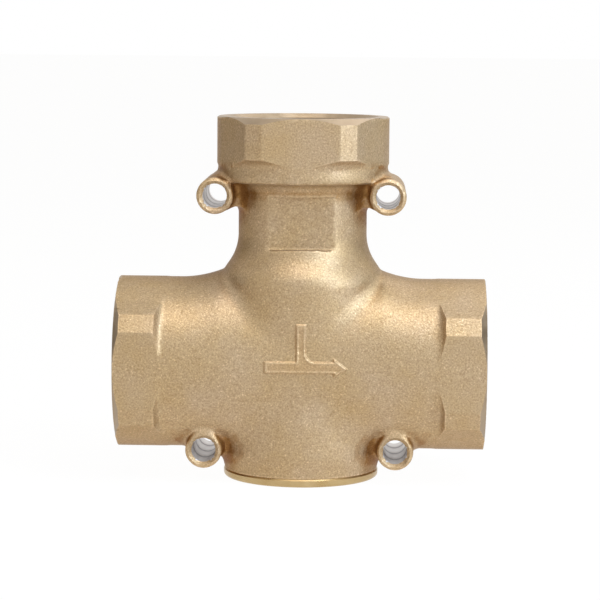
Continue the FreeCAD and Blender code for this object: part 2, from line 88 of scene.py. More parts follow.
def soft_cut(a, b, width):
    """What two fields share, with a rounded edge of about this width."""
    return -soft_join(-a, -b, width)


def between(value, low, high):
    """Field of the slab from low to high."""
    return np.maximum(low - value, value - high)


def ease(value, low, high):
    """0 below low, 1 above high, and a soft step between them."""
    share = np.clip((value - low) / (high - low), 0.0, 1.0)
    return share * share * (3.0 - 2.0 * share)


print("two fields of 1 mm, joined 2 mm wide:", soft_join(1.0, 1.0, 2.0), "mm")

# %% [markdown]
# ### The upright tower
# The chamber, the boss under it, the neck and the collar are all round about the upright axis, so one
# field of radius and height draws them together, like a profile on a lathe. The neck widens to the
# chamber in a hollow flare, and a small cove carries the collar.

# %% The upright tower
TOP_REACH, OVERLAP = 73.0, 3.0
CHAMBER_R, NECK_R, COLLAR_R = 24.1, 18.9, 25.2
BOSS_TOP, BOSS_END, BOSS_R = -25.6, -31.2, 22.6
FLARE_START, FLARE_R, FLARE_END, SHOULDER = 38.6, 14.7, 27.382, 2.6
COLLAR_BASE, COLLAR_EDGE, COLLAR_TILT, CORE_INSET, COVE_R = 54.0, 1.2, 0.06, 1.0, 3.5


def boss_field(r, z):
    """The tapered boss that takes the plug."""
    taper = (CHAMBER_R - BOSS_R) / (BOSS_TOP - BOSS_END)
    cone = (r - CHAMBER_R - (z - BOSS_TOP) * taper) / math.hypot(1.0, taper)
    return cut(cone, r - CHAMBER_R, between(z, BOSS_END, BOSS_TOP + OVERLAP))


def flare_field(r, z):
    """The hollow curve from the neck out to the chamber, with a rounded shoulder."""
    curve = FLARE_R - np.hypot(r - NECK_R - FLARE_R, z - FLARE_START)
    curve = soft_cut(curve, r - CHAMBER_R, SHOULDER)
    return cut(curve, between(z, FLARE_END - 2.0 * OVERLAP, FLARE_START))


def collar_field(r, z):
    """The collar under the top hexagon, with a rounded lower edge and a cove below it."""
    edge_r, edge_z = COLLAR_R - COLLAR_EDGE, COLLAR_BASE + COLLAR_EDGE
    outside = cut(r - COLLAR_R + (z - edge_z) * COLLAR_TILT, between(z, edge_z, TOP_REACH))
    core = cut(r - edge_r + CORE_INSET, between(z, COLLAR_BASE, TOP_REACH))
    base = cut(r - edge_r, between(z, COLLAR_BASE, COLLAR_BASE + OVERLAP))
    edge = np.hypot(r - edge_r, z - edge_z) - COLLAR_EDGE
    cove = COVE_R - np.hypot(r - NECK_R - COVE_R, z - COLLAR_BASE + COVE_R)
    cove = cut(cove, r - NECK_R - COVE_R, between(z, COLLAR_BASE - COVE_R, COLLAR_BASE + OVERLAP))
    return join(outside, core, base, edge, cove)


def tower_field(r, z):
    """Chamber, bottom boss, neck, flare and collar, turned about the upright axis."""
    chamber = cut(r - CHAMBER_R, between(z, BOSS_TOP, FLARE_END - OVERLAP))
    neck = cut(r - NECK_R, between(z, 0.0, COLLAR_BASE + COLLAR_EDGE))
    return join(chamber, boss_field(r, z), neck, flare_field(r, z), collar_field(r, z))


print("tower:", round(TOP_REACH - BOSS_END, 1), "mm high")

# %% [markdown]
# ### Spanner hexagons
# Each port ends in a hexagon for a spanner. Two of its corners lie in the joint of the mould and are
# round, the other four are cut flat. Turning the port face bevels the corners, and at the inner end each
# flat runs out into the round barrel in a short hollow curve.

# %% Spanner hexagons
PORT_REACH, HEX_LENGTH, BARREL_R = 54.0, 14.4, 25.15
FLAT_HALF, STRIP_HALF, SIDE_TRIM, TOP_TRIM, RAMP_R = 25.0, 27.27, 25.2, 25.3, 1.4
FACE_R, FACE_SLOPE = 24.8, 0.7
SIN_30, COS_30 = 0.5, math.cos(math.radians(30))


def hexagon_field(joint, flat, trim):
    """Section of a spanner hexagon: two corners at the mould joint are round, the others cut flat."""
    joint, flat = np.abs(joint), np.abs(flat)
    sides = np.maximum(flat, COS_30 * joint + SIN_30 * flat) - FLAT_HALF
    strips = SIN_30 * joint + COS_30 * flat - STRIP_HALF
    round_corner = np.where(COS_30 * flat < SIN_30 * joint, np.hypot(joint, flat) - trim, -1.0)
    return cut(sides, strips, round_corner)


def hexagon_end(r, along, reach):
    """The cone that bevels the port face, and the hollow run-out at the inner end of a hexagon."""
    bevel = ((r - FACE_R) * FACE_SLOPE - (reach - along)) / math.hypot(FACE_SLOPE, 1.0)
    run = np.maximum(along - reach + HEX_LENGTH, 0.0)
    run_out = (r - BARREL_R - run * run / (2.0 * RAMP_R)) / np.hypot(1.0, run / RAMP_R)
    return bevel, cut(run_out, between(along, reach - HEX_LENGTH, reach))


print("hexagons:", 2.0 * FLAT_HALF, "mm across flats")

# %% [markdown]
# ### Flat, lugs and the place of the sign
# The front of the neck has a flat with a ledge at its foot. Four tubes for long screws stand beside the
# neck and under the barrel. Two of them are listed, and the distance to the middle gives their mirror
# images. A web ties the upper ones to the neck. Where the flow sign will stand, the front skin lies half
# a millimetre lower and eases back all round it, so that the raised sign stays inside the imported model's
# box.

# %% Flat, lugs and the place of the sign
FLAT_DEPTH, FLAT_LOW, FLAT_HIGH = 16.3, 34.6, 50.3
FLAT_LEAN, FLAT_FILLET, FLAT_EDGE = 0.12, 1.6, 0.5
SIGN_DIP, DIP_ACROSS, DIP_UP = 0.54, (15.0, 37.0), (4.0, 21.0)
UPPER_LUG, LOWER_LUG = (25.1, 50.3, 16.0), (27.9, -23.7, 18.5)  # out, up and half length
LUGS = [UPPER_LUG, LOWER_LUG]
LUG_R, LUG_ROUND, LUG_VALLEY = 5.3, 1.2, 2.4
WEB_IN, WEB_LOW, WEB_HALF = 14.0, 46.9, 9.0


def flat_field(y, z):
    """The space in front of the flat on the neck, down to a ledge that leans inwards."""
    ledge = FLAT_LOW - (y + FLAT_DEPTH) * FLAT_LEAN - z
    return cut(soft_cut(y + FLAT_DEPTH, ledge, FLAT_FILLET), z - FLAT_HIGH)


def sign_dip(across, y, z):
    """How much lower the front skin lies around the sign."""
    depth = SIGN_DIP * (1.0 - ease(across, *DIP_ACROSS))
    return depth * (1.0 - ease(np.abs(z), *DIP_UP)) * (y < 0.0)


def with_lugs(skin, across, y, z):
    """The skin joined with the webs beside the neck and the four lugs."""
    web = cut(between(across, WEB_IN, UPPER_LUG[0]), between(z, WEB_LOW, COLLAR_BASE + COLLAR_EDGE))
    skin = soft_join(skin, cut(web, np.abs(y) - WEB_HALF), LUG_VALLEY)
    for lug_x, lug_z, half in LUGS:
        lug = soft_cut(np.hypot(across - lug_x, z - lug_z) - LUG_R, np.abs(y) - half, LUG_ROUND)
        skin = soft_join(skin, lug, LUG_VALLEY)
    return skin


print("lugs:", 2 * len(LUGS), "of", 2.0 * LUG_R, "mm")

# %% [markdown]
# ### One skin
# Barrel and tower cross like two pipes. Their valley is a crease at the sides, where the skins meet
# squarely, is widest half way round to the front and is gone at the front, where both skins face the
# same way, so its width follows the angle between them. The hexagons, webs and lugs join this skin with
# small valleys of their own.

# %% One skin
SWELL_START, SWELL_END, SWELL = 36.0, 24.0, 2.25
CREASE_WIDTH, LEAST_WIDTH, HEX_VALLEY = 1.0, 0.02, 0.3
GROIN_WIDTH, LOW_GROIN, LOW_FADE = 10.0, 9.0, 10.0


def barrel_field(across, r_side, z):
    """The barrel between the side ports, whose top swells towards the chamber."""
    swell = np.clip((SWELL_START - across) / (SWELL_START - SWELL_END), 0.0, 1.0) ** 2
    swell = SWELL * swell * (np.maximum(z, 0.0) / np.maximum(r_side, NEVER_ZERO)) ** 3
    return cut(r_side - BARREL_R - swell, across - PORT_REACH)


def outside_field(x, y, z):
    """The outer skin of the casting, without its hollows."""
    across, r_side, r_up = np.abs(x), np.hypot(y, z), np.hypot(x, y)
    side_bevel, side_ramp = hexagon_end(r_side, across, PORT_REACH)
    top_bevel, top_ramp = hexagon_end(r_up, z, TOP_REACH)
    barrel = cut(barrel_field(across, r_side, z), side_bevel)
    tower = cut(tower_field(r_up, z), top_bevel)
    facing = np.clip(y * y / np.maximum(r_side * r_up, NEVER_ZERO), 0.0, 1.0)
    groin = GROIN_WIDTH + LOW_GROIN * np.clip(-z / LOW_FADE, 0.0, 1.0)
    skin = soft_join(barrel, tower, (CREASE_WIDTH + groin * facing) * (1.0 - facing) + LEAST_WIDTH)
    skin = soft_cut(skin, -flat_field(y, z), FLAT_EDGE) + sign_dip(across, y, z)
    side_hex = cut(hexagon_field(z, y, SIDE_TRIM), side_ramp, side_bevel)
    top_hex = cut(hexagon_field(x, y, TOP_TRIM), top_ramp, top_bevel)
    skin = soft_join(skin, join(side_hex, top_hex), HEX_VALLEY)
    return cut(with_lugs(skin, across, y, z), across - PORT_REACH, z - TOP_REACH)


front = float(outside_field(SWELL_START, -BARREL_R, 0.0))
print("field on the front of the barrel:", round(front, 3), "mm")

# %% [markdown]
# ### Hollows
# Each port is a plain hole at the major radius of its thread. Inside, the inlet way drops under the seat
# of the thermostat and the outlet way rises above it, with a stepped shaft from the plug up to the neck.
# The lugs are bored right through. The hollows are a field too, and the metal is the outside without
# them.

# %% Hollows
THREAD_R, THREAD_DEPTH, MOUTH_BEVEL, MOUTH_DEPTH = 20.955, 16.0, 1.2, 3.0
PASSAGE_R, PASSAGE_END = 16.0, 23.5
SHAFT = {  # radius, low end and high end
    "lower chamber": (20.0, -40.0, -6.0),
    "ring groove": (21.0, -9.6, -8.4),
    "mixing chamber": (17.5, -6.5, 25.8),
    "neck": (13.3, 25.0, 58.0),
}
PLUG_MOUTH_R, PLUG_MOUTH_TOP = 21.0, -29.0
OUTLET_R, OUTLET_UP, OUTLET_END = 12.0, 9.0, 25.5
DROP_R, DROP_LOW, DROP_HIGH, DROP_END = 21.0, -17.8, -9.8, -35.0
LUG_BORE_R, LUG_BEVEL = 3.5, 0.8
SIN_45 = math.sin(math.radians(45))


def port_field(r, along, reach):
    """Threaded hole with its mouth bevel; deeper passages follow on."""
    hole = cut(r - THREAD_R, reach - THREAD_DEPTH - along)
    mouth = (r - THREAD_R - MOUTH_BEVEL + (reach - along)) * SIN_45
    return join(hole, cut(mouth, reach - MOUTH_DEPTH - along))


def hollow_field(x, y, z):
    """All the water ways, the plug's hole and the lug bores."""
    across, r_side, r_up = np.abs(x), np.hypot(y, z), np.hypot(x, y)
    ports = join(port_field(r_side, across, PORT_REACH), port_field(r_up, z, TOP_REACH))
    passages = cut(r_side - PASSAGE_R, PASSAGE_END - across)
    plug_mouth = cut((r_up - PLUG_MOUTH_R + (z - BOSS_END)) * SIN_45, z - PLUG_MOUTH_TOP)
    outlet = cut(np.hypot(y, z - OUTLET_UP) - OUTLET_R, between(x, 0.0, OUTLET_END))
    drop = cut(r_side - DROP_R, between(z, DROP_LOW, DROP_HIGH), between(x, DROP_END, 0.0))
    hollow = join(ports, passages, plug_mouth, outlet, drop)
    for radius, low, high in SHAFT.values():
        hollow = join(hollow, cut(r_up - radius, between(z, low, high)))
    for lug_x, lug_z, half in LUGS:
        mouth = np.clip(LUG_BEVEL - half + np.abs(y), 0.0, LUG_BEVEL)
        hollow = join(hollow, np.hypot(across - lug_x, z - lug_z) - LUG_BORE_R - mouth)
    return hollow


def casting_field(x, y, z):
    """The metal: the outside without the hollows."""
    return cut(outside_field(x, y, z), -hollow_field(x, y, z))


print("ports:", 2.0 * THREAD_R, "mm wide,", THREAD_DEPTH, "mm deep; shaft:", ", ".join(SHAFT))

# %% [markdown]
# ## From field to mesh
# A grid is laid over the field. Each grid edge that crosses the surface gives a point and a surface
# direction, and each grid cell takes the one point that fits the directions of its own edges best. Unlike
# plain marching cubes this keeps machined edges sharp while the rounded valleys stay smooth.

# %% Points and directions on the surface
PROBE, HALVINGS = 0.01, 12


def slopes(field, points):
    """Unit direction in which the field grows, at each point."""
    grow = np.empty_like(points)
    for k in range(3):
        step = np.zeros(3)
        step[k] = PROBE
        grow[:, k] = field(*(points + step).T) - field(*(points - step).T)
    return grow / np.maximum(np.linalg.norm(grow, axis=1, keepdims=True), NEVER_ZERO)


def crossings(field, start, way, first):
    """Where the field passes zero on each edge, by halving."""
    low, high = np.zeros(len(start)), np.ones(len(start))
    for _ in range(HALVINGS):
        mid = (low + high) / 2
        inside = (field(*(start + way * mid[:, None]).T) < 0) == (first < 0)
        low, high = np.where(inside, mid, low), np.where(inside, high, mid)
    return start + way * ((low + high) / 2)[:, None]


# %% Cells of the grid
PULL, SLACK = 0.02, 0.1


def cells_around(index, axis, cells):
    """Numbers of the four cells that share each grid edge, and which edges have all four."""
    p, q = [j for j in range(3) if j != axis]
    around = []
    for dp, dq in ((0, 0), (1, 0), (1, 1), (0, 1)):
        cell = index.copy()
        cell[:, p] -= dp
        cell[:, q] -= dq
        around.append(cell)
    whole = np.all([((c >= 0) & (c < cells)).all(1) for c in around], axis=0)
    return [np.ravel_multi_index(c[whole].T, cells) for c in around], whole


def best_points(ata, atb, middle, corner, step):
    """The point of each cell that lies nearest to the planes of its own edges."""
    square = np.stack([ata[:, [0, 1, 2]], ata[:, [1, 3, 4]], ata[:, [2, 4, 5]]], 1)
    rest = atb - np.einsum("nij,nj->ni", square, middle)
    shift = np.linalg.solve(square + PULL * np.eye(3), rest[..., None])[..., 0]
    return np.clip(middle + shift, corner - SLACK * step, corner + (1.0 + SLACK) * step)


# %% Field to mesh
BALL_R, BALL_BOX, BALL_STEP = 5.0, 6.1, 0.9


def mesh_of_field(field, low, high, step):
    """Points and quads of the surface of a field inside a box."""
    axes = [np.arange(a, b + step, step) for a, b in zip(low, high)]
    grid = field(*np.meshgrid(*axes, indexing="ij"))
    cells = np.array(grid.shape) - 1
    inside = grid < 0
    total = int(cells.prod())
    ata, atb = np.zeros((total, 6)), np.zeros((total, 3))
    middle, hits = np.zeros((total, 3)), np.zeros(total)
    faces = []
    for k in range(3):
        front, back = [slice(None)] * 3, [slice(None)] * 3
        front[k], back[k] = slice(1, None), slice(None, -1)
        index = np.argwhere(inside[tuple(back)] != inside[tuple(front)])
        start = np.stack([axes[j][index[:, j]] for j in range(3)], 1)
        sign = grid[tuple(index.T)]
        point = crossings(field, start, step * np.eye(3)[k], sign)
        normal = slopes(field, point)
        ids, whole = cells_around(index, k, cells)
        point, normal, sign = point[whole], normal[whole], sign[whole]
        reach = (normal * point).sum(1)
        for cell in ids:
            for n, (a, b) in enumerate(((0, 0), (0, 1), (0, 2), (1, 1), (1, 2), (2, 2))):
                ata[:, n] += np.bincount(cell, normal[:, a] * normal[:, b], total)
            for n in range(3):
                atb[:, n] += np.bincount(cell, normal[:, n] * reach, total)
                middle[:, n] += np.bincount(cell, point[:, n], total)
            hits += np.bincount(cell, minlength=total)
        quad = np.stack(ids, 1)
        turn = (sign < 0) == (k != 1)
        faces.append(np.where(turn[:, None], quad, quad[:, ::-1]))
    used = np.flatnonzero(hits)
    corner = np.stack([axes[j][i] for j, i in enumerate(np.unravel_index(used, cells))], 1)
    points = best_points(ata[used], atb[used], middle[used] / hits[used, None], corner, step)
    rank = np.full(total, -1)
    rank[used] = np.arange(len(used))
    return points, rank[np.concatenate(faces)]


ball, _ = mesh_of_field(
    lambda x, y, z: np.sqrt(x * x + y * y + z * z) - BALL_R, [-BALL_BOX] * 3, [BALL_BOX] * 3, BALL_STEP)
miss = np.abs(np.linalg.norm(ball, axis=1) - BALL_R).max()
print("test ball:", len(ball), "points, at most", round(float(miss), 3), "mm off")


# %% Mesh objects
def piece_from(name, spots, quads, sharp_angle=32.0):
    """Mesh object in metres from millimetre points, smooth apart from its machined edges."""
    mesh = bpy.data.meshes.new(name)
    placed = (spots + np.array([0.0, 0.0, AXIS_HEIGHT])) * MM
    mesh.from_pydata(placed.tolist(), [], quads.tolist())
    mesh.shade_smooth()
    mesh.set_sharp_from_angle(angle=math.radians(sharp_angle))
    obj = bpy.data.objects.new(name, mesh)
    bpy.context.scene.collection.objects.link(obj)
    print(name, len(spots), "points", 2 * len(quads), "triangles")
    return obj


# %% [markdown]
# ### Recesses and edges
# The finish paints shade into the deep valleys of the casting, and brightens its edges partly as wear and
# partly as painted highlight. The field can tell the two apart. From each point of the mesh a few short
# feelers go out in fixed directions: the share of them that runs into metal says how deep the point lies in
# a valley. The open flat on the neck gets no painted shade, and the water ways get less. A little way under
# the surface, the field falls short of that depth near an edge. Both shares are kept on the mesh's points
# for the finish to read.

# %% Recesses and edges
FEELERS = [way for way in product((-1, 0, 1), repeat=3) if way > (0, 0, 0)]  # one of each opposite pair
FEELER_STEPS, LIFT_OFF, LEAST_LEAN = (1.5, 3.5, 6.5), 0.4, 0.2
EDGE_REACH, FLAT_FADE, WALL_NEAR, INSIDE_SHADE_SHARE = (0.5, 0.9), 0.5, 0.1, 0.3


def valley_share(field, spots, out):
    """Share of the feelers over each point that run into metal."""
    blocked, weight = np.zeros(len(spots)), np.zeros(len(spots))
    for feeler in FEELERS:
        way = np.array(feeler) / np.linalg.norm(feeler)
        lean = out @ way
        course = way * np.sign(lean)[:, None]
        lean = np.maximum(np.abs(lean) - LEAST_LEAN, 0.0)
        met = np.zeros(len(spots), bool)
        for step in FEELER_STEPS:
            met |= field(*(spots + out * LIFT_OFF + course * step).T) < 0
        blocked += lean * met
        weight += lean
    return blocked / weight


def mark_relief(obj, field, spots, hollow_shade=0.0):
    """Attributes from 0 to 1: how deep each point lies in a valley, plus any painted shade passed in, and
    how near it is to an edge.
    """
    out = slopes(field, spots)
    valley = valley_share(field, spots, out)
    # Painted shade: the valley depth darkens the finish; none on the neck's flat, less in the water ways.
    valley = valley * np.clip(flat_field(spots[:, 1], spots[:, 2]) / FLAT_FADE, 0.0, 1.0)
    valley = valley * np.where(hollow_field(*spots.T) < WALL_NEAR, INSIDE_SHADE_SHARE, 1.0)
    depths = [-field(*(spots - out * reach).T) / reach for reach in EDGE_REACH]
    brink = np.mean([1.0 - np.clip(depth, 0.0, 1.0) for depth in depths], axis=0)
    # First attribute: painted shade in valleys. Second: brightening near edges, partly wear, partly painted
    # highlight.
    for name, share in (("recess_shade", valley + hollow_shade), ("edge", brink)):
        layer = obj.data.attributes.new(name, "FLOAT", "POINT")
        layer.data.foreach_set("value", share.astype(np.float32))
        print(obj.name, name, "mean", round(float(share.mean()), 3))


# %% [markdown]
# ### The casting's mesh
# The grid starts at odd numbers, so that no flat face of the casting falls on a plane of grid points.
# Points at the outermost faces are held to the casting's box.

# %% Mesh the casting
CASTING_STEP = 0.85
CASTING_LOW, CASTING_HIGH = (-55.37, -26.63, -32.57), (55.6, 27.0, 74.4)
spots, quads = mesh_of_field(casting_field, CASTING_LOW, CASTING_HIGH, CASTING_STEP)
spots = np.clip(spots, (-PORT_REACH, -COLLAR_R, BOSS_END), (PORT_REACH, COLLAR_R, TOP_REACH))
casting = piece_from("casting", spots, quads)
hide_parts("valve_body")
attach(casting, "housing")
mark_relief(casting, casting_field, spots)

# %% [markdown]
# ## Raised flow sign
# The front of the casting carries a raised sign: water comes from the left and from above and leaves to
# the right. On the real casting it was cut into the mould, so it follows the curved skin, with a rounded
# rim along its outline and a hollow inside the rim. The same field tool makes it: the depth inside a flat
# drawing of the sign sets how far its surface stands off the skin.

# %% Drawing of the sign
BAR_LEFT, BAR_LOW, BAR_HIGH = -10.4, -0.3, 3.7
LEG_LEFT, LEG_RIGHT, LEG_TOP, LEG_FILLET = -1.3, 2.2, 14.4, 2.3
ARROW = [(9.5, 5.1), (14.4, 1.4), (9.7, -1.6)]


def drawing_field(x, z):
    """Flat drawing of the sign: a bar, a leg with one rounded corner, and an arrow head."""
    leg = cut(between(x, LEG_LEFT, LEG_RIGHT), between(z, BAR_LOW, LEG_TOP))
    corner_x, corner_z = LEG_RIGHT + LEG_FILLET, BAR_HIGH + LEG_FILLET
    fillet = cut(between(x, LEG_LEFT, corner_x), between(z, BAR_LOW, corner_z))
    fillet = cut(fillet, LEG_FILLET - np.hypot(x - corner_x, z - corner_z))
    upper, lower, barbs = (
        ((z - z0) * (x1 - x0) - (x - x0) * (z1 - z0)) / math.hypot(x1 - x0, z1 - z0)
        for (x0, z0), (x1, z1) in zip(ARROW, ARROW[1:] + ARROW[:1]))
    bar = cut(BAR_LEFT - x, upper, lower, between(z, BAR_LOW, BAR_HIGH))
    return join(bar, leg, fillet, cut(upper, lower, barbs))


print("sign:", round(ARROW[1][0] - BAR_LEFT, 1), "mm long")

# %% Flow sign
# The fifth number is painted shade in the sign's hollow.
SIGN_RISE, SIGN_FOOT, SIGN_HOLLOW, SIGN_SINK, SIGN_HOLLOW_SHADE = 0.57, 0.06, 0.16, 0.5, 0.09
RIM_TOP, RIM_FOOT, SIGN_BACK = 0.75, 1.3, -12.0
SIGN_STEP, SIGN_ANGLE = 0.22, 60.0
SIGN_LOW, SIGN_HIGH = (-12.13, -26.43, -3.27), (15.6, -17.0, 15.1)


def sign_field(x, y, z):
    """A shell over the front skin, as high as the drawing's rim and hollow say."""
    skin, inside = outside_field(x, y, z), -drawing_field(x, z)
    height = (SIGN_RISE + SIGN_FOOT) * ease(inside, 0.0, RIM_TOP) - SIGN_FOOT
    height = height - SIGN_HOLLOW * ease(inside, RIM_TOP, RIM_FOOT)
    return cut(skin - height, -inside, -SIGN_SINK - skin, y - SIGN_BACK)


def signed_skin(x, y, z):
    """The outer skin with the sign on it."""
    return join(sign_field(x, y, z), outside_field(x, y, z))


spots, quads = mesh_of_field(sign_field, SIGN_LOW, SIGN_HIGH, SIGN_STEP)
flow_sign = piece_from("flow_sign", spots, quads, SIGN_ANGLE)
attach(flow_sign, "housing")
# Painted shade in the sign's hollow inside its rim, carried with the valleys' painted shade.
hollow_shade = SIGN_HOLLOW_SHADE * ease(-drawing_field(spots[:, 0], spots[:, 2]), RIM_TOP, RIM_FOOT)
mark_relief(flow_sign, signed_skin, spots, hollow_shade)

# %% [markdown]
# ## Node helpers
# Materials here are node trees on Object coordinates, so a pattern keeps its real size in metres. Small
# helpers keep the trees readable: one starts a material, one adds a node and sets its sockets, and the
# others add the few nodes that every finish needs and return the socket to go on from.

# %% Node helpers
def add_node(tree, kind, **sockets):
    """A new node with its sockets or settings filled in."""
    node = tree.nodes.new(kind)
    for name, setting in sockets.items():
        key = name.replace("_", " ")
        if key in node.inputs:
            node.inputs[key].default_value = setting
        else:
            setattr(node, name, setting)
    return node


def start_material(name):
    """A new material, its tree, its shader and the socket with Object coordinates."""
    material = bpy.data.materials.new(name)
    material.use_nodes = True
    tree = material.node_tree
    shader = tree.nodes["Principled BSDF"]
    place = add_node(tree, "ShaderNodeTexCoord")
    return material, tree, shader, place.outputs["Object"]


def attribute(tree, name):
    """A number kept on the mesh's points."""
    return add_node(tree, "ShaderNodeAttribute", attribute_name=name).outputs["Fac"]


def noise(tree, place, scale, detail=3.0, roughness=0.55):
    """Soft random pattern, scale in waves per metre."""
    node = add_node(tree, "ShaderNodeTexNoise", Scale=scale, Detail=detail, Roughness=roughness)
    tree.links.new(place, node.inputs["Vector"])
    return node.outputs["Fac"]


# %% Helpers for colour, range and bump
def ramp(tree, source, stops):
    """Colour ramp from (position, colour) stops."""
    node = add_node(tree, "ShaderNodeValToRGB")
    while len(node.color_ramp.elements) < len(stops):
        node.color_ramp.elements.new(0.5)
    for element, (position, colour) in zip(node.color_ramp.elements, stops):
        element.position = position
        element.color = (*colour, 1.0)
    tree.links.new(source, node.inputs["Fac"])
    return node.outputs["Color"]


def multiply(tree, a, b):
    """Product of two colour sockets."""
    node = add_node(tree, "ShaderNodeMix", data_type="RGBA", blend_type="MULTIPLY")
    node.inputs[0].default_value = 1.0
    tree.links.new(a, node.inputs[6])
    tree.links.new(b, node.inputs[7])
    return node.outputs[2]


def to_range(tree, source, low, high, from_low=0.3, from_high=0.7):
    """Number socket moved to another range; noise mostly lies between 0.3 and 0.7."""
    node = add_node(tree, "ShaderNodeMapRange")
    limits = {"From Min": from_low, "From Max": from_high, "To Min": low, "To Max": high}
    for name, limit in limits.items():
        node.inputs[name].default_value = limit
    tree.links.new(source, node.inputs["Value"])
    return node.outputs["Result"]


def add_bump(tree, shader, height, strength, distance):
    """Fine relief from a number socket, distance in metres."""
    bump = add_node(tree, "ShaderNodeBump", Strength=strength, Distance=distance)
    tree.links.new(height, bump.inputs["Height"])
    tree.links.new(bump.outputs["Normal"], shader.inputs["Normal"])


# %% [markdown]
# ## Blasted cast brass
# After casting, the body is shot-blasted: thousands of small dents make it matt. Fine noise drives colour,
# roughness and bump together, so that a dent is dark, dull and low at the same place, and the pale end of
# the colour is painted glints on the rims of the dents. Broad noise adds the patches of the mould. The
# recess attribute paints shade into the valleys, and the edge attribute brightens the edges, partly as wear
# and partly as painted highlight.

# %% Blasted cast brass
WHITE = (1.0, 1.0, 1.0)


def blasted_brass():
    """Matt grained brass with painted glints, painted shade in the valleys and partly painted edge
    highlights.
    """
    material, tree, shader, place = start_material("blasted_brass")
    grain = noise(tree, place, 2000.0, 3.0, 0.65)
    patch = noise(tree, place, 70.0, 4.0, 0.6)
    patches = [(0.32, (0.494, 0.338, 0.176)), (0.5, (0.502, 0.352, 0.200)), (0.68, (0.510, 0.365, 0.224))]
    # Grain tones; the pale end, brighter than white, is painted glints.
    grain_and_glints = [(0.34, (0.76, 0.72, 0.66)), (0.5, WHITE), (0.6, (1.07, 1.08, 1.09)), (0.72, (1.6, 1.68, 1.8))]
    # Painted shade in the valleys, read from the recess attribute.
    painted_shade = [(0.0, WHITE), (0.34, (0.66, 0.48, 0.27))]
    # Edges brightened: partly wear, partly painted highlight.
    wear_and_highlight = [(0.12, WHITE), (0.5, (1.22, 1.24, 1.28))]
    colour = multiply(tree, ramp(tree, patch, patches), ramp(tree, grain, grain_and_glints))
    colour = multiply(tree, colour, ramp(tree, attribute(tree, "recess_shade"), painted_shade))
    colour = multiply(tree, colour, ramp(tree, attribute(tree, "edge"), wear_and_highlight))
    tree.links.new(colour, shader.inputs["Base Color"])
    tree.links.new(to_range(tree, grain, 0.46, 0.3), shader.inputs["Roughness"])
    add_bump(tree, shader, grain, 0.4, 0.3 * MM)
    shader.inputs["Metallic"].default_value = 0.5
    shader.inputs["Specular IOR Level"].default_value = 0.4
    shader.inputs["Specular Tint"].default_value = (0.3, 0.18, 0.09, 1.0)
    return material


cast_finish = blasted_brass()
for piece in (casting, flow_sign):
    piece.data.materials.append(cast_finish)
print("blasted brass:", len(cast_finish.node_tree.nodes), "nodes")

# %% [markdown]
# ## Turned brass, steel, copper, rubber and wax
# Turned faces show fine rings around the axis they were turned about; a wave texture in ring mode gives
# these. Its rings lie about an axis through the origin, so a Mapping node first moves the port axis
# there. The drilled lugs are greyer, with thin dark lines around the bore that are painted reflections.
# Pressed steel has a satin grain, and rubber and wax are dull with a little mottling.

# %% Turned brass
RING_SCALE, RING_WAVER, RING_DEPTH = 900.0, 1.2, 0.05 * MM


def turned_brass(name, axis, dark, pale, rough, lift=0.0):
    """Satin brass in two tones with fine rings about X or Z; lift is the height of that axis."""
    material, tree, shader, place = start_material(name)
    centre = add_node(tree, "ShaderNodeMapping", Location=(0, 0, -lift * MM))
    tree.links.new(place, centre.inputs["Vector"])
    rings = add_node(
        tree, "ShaderNodeTexWave", wave_type="RINGS", rings_direction=axis, Scale=RING_SCALE,
        Distortion=RING_WAVER)
    tree.links.new(centre.outputs["Vector"], rings.inputs["Vector"])
    patch = noise(tree, place, 160.0)
    tree.links.new(ramp(tree, patch, [(0.3, dark), (0.7, pale)]), shader.inputs["Base Color"])
    tree.links.new(to_range(tree, patch, *rough), shader.inputs["Roughness"])
    add_bump(tree, shader, rings.outputs["Fac"], 0.12, RING_DEPTH)
    shader.inputs["Metallic"].default_value = 0.85
    return material


# %% Drilled lugs
WAVES_PER_UNIT = 20.0 / math.tau


def drilled_bore(name, reflection_gap):
    """Grey satin wall with painted reflections, thin dark lines around the bore along Y; the gap is in
    metres.
    """
    material, tree, shader, place = start_material(name)
    bands = add_node(
        tree, "ShaderNodeTexWave", wave_type="BANDS", bands_direction="Y",
        Scale=1.0 / WAVES_PER_UNIT / reflection_gap, Distortion=0.6)
    tree.links.new(place, bands.inputs["Vector"])
    # The dark stops are painted reflections; the paler stops are the wall's grey.
    tones = [
        (0.0, (0.15, 0.11, 0.10)), (0.05, (0.26, 0.20, 0.19)),
        (0.14, (0.58, 0.52, 0.48)), (1.0, (0.76, 0.71, 0.68)),
    ]
    tree.links.new(ramp(tree, bands.outputs["Fac"], tones), shader.inputs["Base Color"])
    tree.links.new(to_range(tree, noise(tree, place, 900.0), 0.28, 0.42), shader.inputs["Roughness"])
    add_bump(tree, shader, bands.outputs["Fac"], 0.3, 0.1 * MM)
    shader.inputs["Metallic"].default_value = 0.7
    return material


# %% Plain finishes of the insert
def mottled(name, dark, pale, metallic, rough, scale, dent):
    """A dull or satin finish: two tones, a range of roughness and a fine bump."""
    material, tree, shader, place = start_material(name)
    grain = noise(tree, place, scale, 4.0)
    tree.links.new(ramp(tree, grain, [(0.3, dark), (0.7, pale)]), shader.inputs["Base Color"])
    tree.links.new(to_range(tree, grain, *rough), shader.inputs["Roughness"])
    add_bump(tree, shader, grain, 0.2, dent * MM)
    shader.inputs["Metallic"].default_value = metallic
    return material


# %% [markdown]
# ### One finish for each slot
# The record names a slot for each piece, and the slot decides the finish, so a piece needs no finish of
# its own. The casting's machined places and the threads have their own tones of turned brass.

